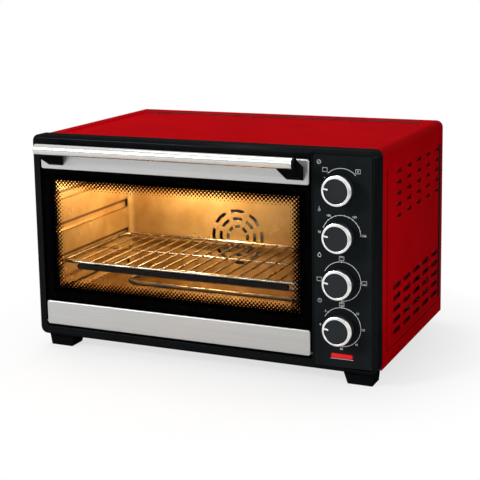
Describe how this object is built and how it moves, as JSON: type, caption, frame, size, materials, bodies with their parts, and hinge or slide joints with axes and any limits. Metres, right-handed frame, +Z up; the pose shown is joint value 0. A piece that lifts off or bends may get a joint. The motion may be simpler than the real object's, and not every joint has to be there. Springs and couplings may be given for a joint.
{
  "type": "electric countertop oven",
  "caption": "Red and black countertop electric oven with a drop-down glass door, tubular handle, control knobs, wire rack, U-shaped heating elements and a convection fan.",
  "frame": {"origin": "centre of the bounding box's underside, on the surface that the feet stand on", "axes": "+X to the right seen from the front, -Y out of the front, +Z up"},
  "size_m": [0.52, 0.3786, 0.317],
  "materials": {
    "black_plastic": "moulded, satin gloss",
    "panel_black": "printed panel, satin",
    "red_enamel": "stove enamelled, glossy",
    "galvanised_steel": "galvanised sheet",
    "cavity_steel": "aluminised sheet, warm under the lamp",
    "brushed_trim": "brushed",
    "door_glass": "tempered, printed black border",
    "knob_silver": "satin plated",
    "knob_black": "moulded, matte",
    "rack_chrome": "plated wire",
    "heater_sheath": "heat tinted",
    "ceramic": "unglazed insulating ceramic",
    "clear_glass": "clear",
    "lens_red": "clear red, lit",
    "bell_brass": "drawn",
    "switch_plastic": "phenolic",
    "foot_rubber": "matte",
    "zinc_steel": "zinc plated",
    "motor_steel": "plain"
  },
  "bodies": {
    "oven_body": {"front_frame": "black_plastic", "control_panel": "panel_black", "outer_shell": "red_enamel", "rear_cover": "galvanised_steel", "base_plate": "galvanised_steel", "foot_front_left": "foot_rubber", "foot_front_right": "foot_rubber", "foot_rear_left": "foot_rubber", "foot_rear_right": "foot_rubber", "cavity_left_wall": "cavity_steel", "cavity_right_wall": "cavity_steel", "cavity_roof": "cavity_steel", "cavity_floor": "cavity_steel", "cavity_back": "cavity_steel", "heat_shield": "galvanised_steel", "lower_heater": "heater_sheath", "upper_heater": "heater_sheath", "lower_heater_holder": "ceramic", "upper_heater_holder": "ceramic", "lower_heater_clip": "galvanised_steel", "upper_heater_clip": "galvanised_steel", "lamp_housing": "galvanised_steel", "lamp_bulb": "clear_glass", "lamp_cover": "clear_glass", "fan_housing": "galvanised_steel", "fan_motor": "motor_steel", "convection_switch": "switch_plastic", "thermostat": "ceramic", "function_switch": "switch_plastic", "timer": "galvanised_steel", "timer_bell": "bell_brass", "indicator_lens": "lens_red", "indicator_lamp": "clear_glass", "terminal_block": "ceramic", "cord_gland": "black_plastic"},
    "door": {"door_glass": "door_glass", "door_top_trim": "brushed_trim", "door_bottom_trim": "brushed_trim", "door_hinge_left": "zinc_steel", "door_hinge_right": "zinc_steel", "handle_bar": "brushed_trim", "handle_bracket_left": "black_plastic", "handle_bracket_right": "black_plastic", "handle_screw_left": "zinc_steel", "handle_screw_right": "zinc_steel"},
    "rack": {"wire_rack": "rack_chrome"},
    "fan": {"fan_blade": "galvanised_steel"},
    "convection_knob": {"convection_knob_ring": "knob_silver", "convection_knob_cap": "knob_black", "convection_shaft": "zinc_steel"},
    "thermostat_knob": {"thermostat_knob_ring": "knob_silver", "thermostat_knob_cap": "knob_black", "thermostat_shaft": "zinc_steel"},
    "function_knob": {"function_knob_ring": "knob_silver", "function_knob_cap": "knob_black", "function_shaft": "zinc_steel"},
    "timer_knob": {"timer_knob_ring": "knob_silver", "timer_knob_cap": "knob_black", "timer_shaft": "zinc_steel"}
  },
  "joints": [
    {"name": "door_hinge", "type": "hinge", "parent": "oven_body", "child": "door", "pos_m": [-0.03825, -0.14495, 0.0408], "axis": [1, 0, 0], "range_deg": [0, 86], "stiffness_Nm_per_rad": 0.6, "springref_deg": -45.84},
    {"name": "rack_slide", "type": "slide", "parent": "oven_body", "child": "rack", "axis": [0, -1, 0], "range_m": [0, 0.1205]},
    {"name": "convection_turn", "type": "hinge", "parent": "oven_body", "child": "convection_knob", "pos_m": [0.212, -0.14775, 0.2673], "axis": [0, 1, 0], "range_deg": [0, 130]},
    {"name": "thermostat_turn", "type": "hinge", "parent": "oven_body", "child": "thermostat_knob", "pos_m": [0.212, -0.14775, 0.2056], "axis": [0, 1, 0], "range_deg": [0, 175]},
    {"name": "function_turn", "type": "hinge", "parent": "oven_body", "child": "function_knob", "pos_m": [0.212, -0.14775, 0.1439], "axis": [0, 1, 0], "range_deg": [0, 260]},
    {"name": "timer_turn", "type": "hinge", "parent": "oven_body", "child": "timer_knob", "pos_m": [0.212, -0.14775, 0.0822], "axis": [0, 1, 0], "range_deg": [0, 260]},
    {"name": "fan_spin", "type": "hinge", "parent": "oven_body", "child": "fan", "pos_m": [-0.03825, 0.07875, 0.134], "axis": [0, 1, 0], "continuous": true}
  ],
  "couplings": [
    {"joint": "rack_slide", "follows": "door_hinge", "m_per_rad": 0.08}
  ]
}
